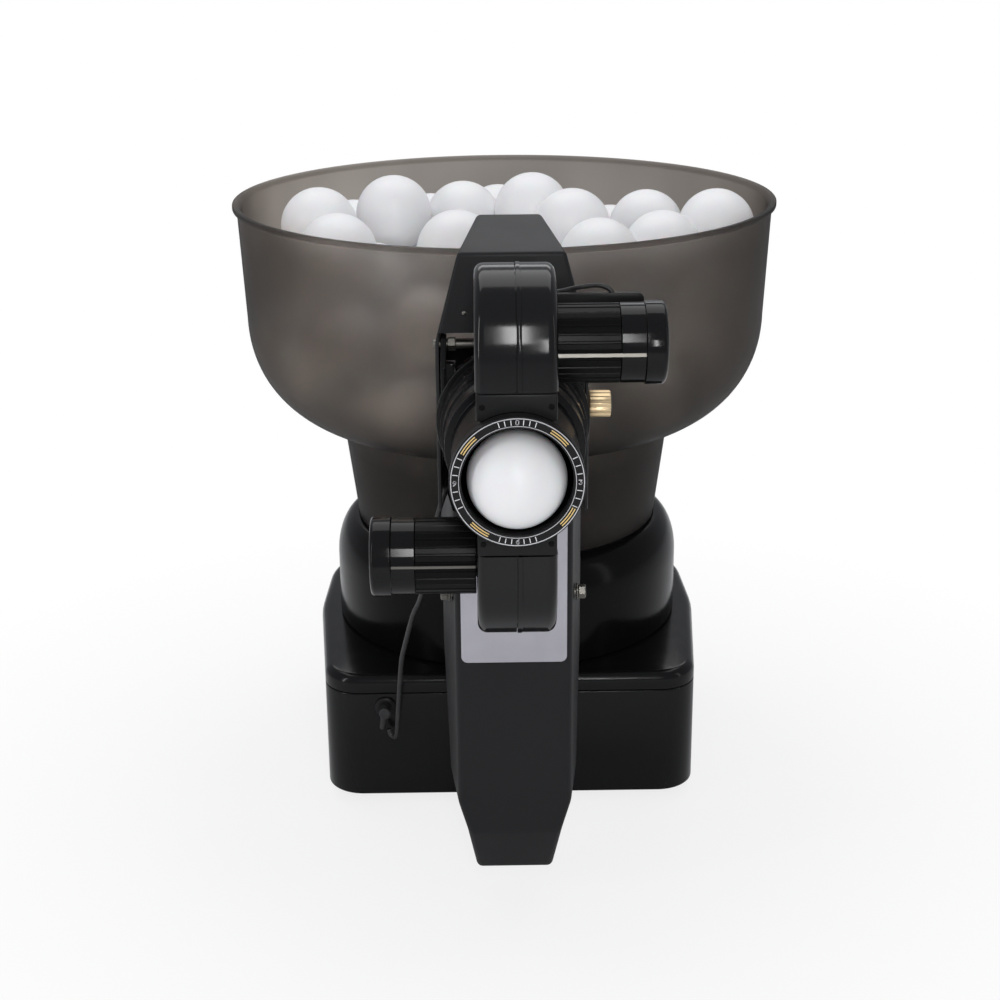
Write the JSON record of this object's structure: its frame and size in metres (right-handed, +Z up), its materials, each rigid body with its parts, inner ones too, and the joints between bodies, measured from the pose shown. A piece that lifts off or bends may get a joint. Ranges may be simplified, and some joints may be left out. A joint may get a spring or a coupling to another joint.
{
  "type": "table tennis robot",
  "caption": "Table tennis ball thrower: smoked ball hopper on a swinging turntable, low base, front column and tilting head with two driven wheels around a barrel.",
  "frame": {"origin": "on the turntable's swing axis, in the plane of the base's underside", "axes": "+Z up, -Y towards the player (the direction in which balls are thrown), +X to the right in the picture"},
  "size_m": [0.2884, 0.4402, 0.3278],
  "materials": {
    "gloss_black": "glossy moulded black",
    "satin_black": "satin moulded black",
    "sheet_black": "satin black coated sheet",
    "smoked_clear": "smoked translucent moulding",
    "foot_rubber": "matt rubber",
    "tyre_rubber": "reddish-brown soft rubber",
    "steel": "bright zinc or bare steel",
    "motor_black": "black coated motor can",
    "brass": "knurled brass",
    "silver_plate": "satin silver sheet",
    "nylon": "natural nylon",
    "board": "green circuit board",
    "lead_black": "black flexible sheath"
  },
  "bodies": {
    "base": {"base_housing": "gloss_black", "base_lid": "gloss_black", "base_bottom_plate": "sheet_black", "foot_front_left": "foot_rubber", "foot_front_right": "foot_rubber", "foot_rear_left": "foot_rubber", "foot_rear_right": "foot_rubber", "control_board": "board", "pan_motor": "steel", "switch_frame": "satin_black", "power_inlet": "satin_black", "lead_jack": "satin_black", "lead_plug": "satin_black", "lead_lower": "lead_black"},
    "pan_pinion": {"pan_pinion": "nylon"},
    "rocker": {"rocker_switch": "gloss_black"},
    "turntable": {"turntable_bearing": "nylon", "turntable_plate": "satin_black", "turntable_gear": "nylon", "turntable_collar": "gloss_black", "feed_pan": "satin_black", "feed_motor": "steel", "hopper_bowl": "smoked_clear", "ball_duct": "satin_black", "rise_tube": "satin_black", "column_cover": "sheet_black", "name_plate": "silver_plate", "column_bolt_left": "steel", "column_bolt_right": "steel", "head_yoke": "sheet_black", "tilt_rod": "steel", "rod_nut_left": "steel", "rod_nut_right": "steel", "lock_nut": "steel", "lead_upper": "lead_black"},
    "feeder": {"star_wheel": "satin_black", "feed_shaft": "steel"},
    "knob": {"lock_knob": "brass"},
    "carrier": {"tilt_carrier": "gloss_black"},
    "head": {"barrel": "gloss_black", "spin_dial": "satin_black", "barrel_retainer": "satin_black", "terminal_plate": "satin_black", "terminal_lead": "lead_black", "upper_clamp_plate": "satin_black", "upper_housing_inner": "gloss_black", "upper_housing_outer": "gloss_black", "upper_motor_can": "motor_black", "upper_motor_cap": "gloss_black", "lower_clamp_plate": "satin_black", "lower_housing_inner": "gloss_black", "lower_housing_outer": "gloss_black", "lower_motor_can": "motor_black", "lower_motor_cap": "gloss_black"},
    "upper_wheel": {"upper_tyre": "tyre_rubber", "upper_hub": "nylon", "upper_shaft": "steel"},
    "lower_wheel": {"lower_tyre": "tyre_rubber", "lower_hub": "nylon", "lower_shaft": "steel"}
  },
  "joints": [
    {"name": "turntable_swing", "type": "hinge", "parent": "base", "child": "turntable", "pos_m": [0, 0, 0.073], "axis": [0, 0, 1], "range_deg": [-20, 20]},
    {"name": "pinion_spin", "type": "hinge", "parent": "base", "child": "pan_pinion", "pos_m": [0, 0.06505, 0.05], "axis": [0, 0, 1], "range_deg": [-88, 88]},
    {"name": "switch_rock", "type": "hinge", "parent": "base", "child": "rocker", "pos_m": [0.032, 0.104, 0.0299], "axis": [0, 0, 1], "range_deg": [0, 16]},
    {"name": "feeder_spin", "type": "hinge", "parent": "turntable", "child": "feeder", "pos_m": [0, 0, 0.09], "axis": [0, 0, 1], "continuous": true},
    {"name": "knob_turn", "type": "hinge", "parent": "turntable", "child": "knob", "pos_m": [0, -0.199, 0.2462], "axis": [1, 0, 0], "range_deg": [0, 360]},
    {"name": "head_tilt", "type": "hinge", "parent": "turntable", "child": "carrier", "pos_m": [0, -0.199, 0.2739], "axis": [-1, 0, 0], "range_deg": [-5, 25]},
    {"name": "head_swivel", "type": "hinge", "parent": "carrier", "child": "head", "pos_m": [0, -0.256, 0.2431], "axis": [0, 1, 0], "range_deg": [-180, 180]},
    {"name": "upper_wheel_spin", "type": "hinge", "parent": "head", "child": "upper_wheel", "pos_m": [0, -0.256, 0.2885], "axis": [1, 0, 0], "continuous": true},
    {"name": "lower_wheel_spin", "type": "hinge", "parent": "head", "child": "lower_wheel", "pos_m": [0, -0.256, 0.1977], "axis": [1, 0, 0], "continuous": true}
  ],
  "couplings": [
    {"joint": "pinion_spin", "follows": "turntable_swing", "ratio": -4.4}
  ]
}
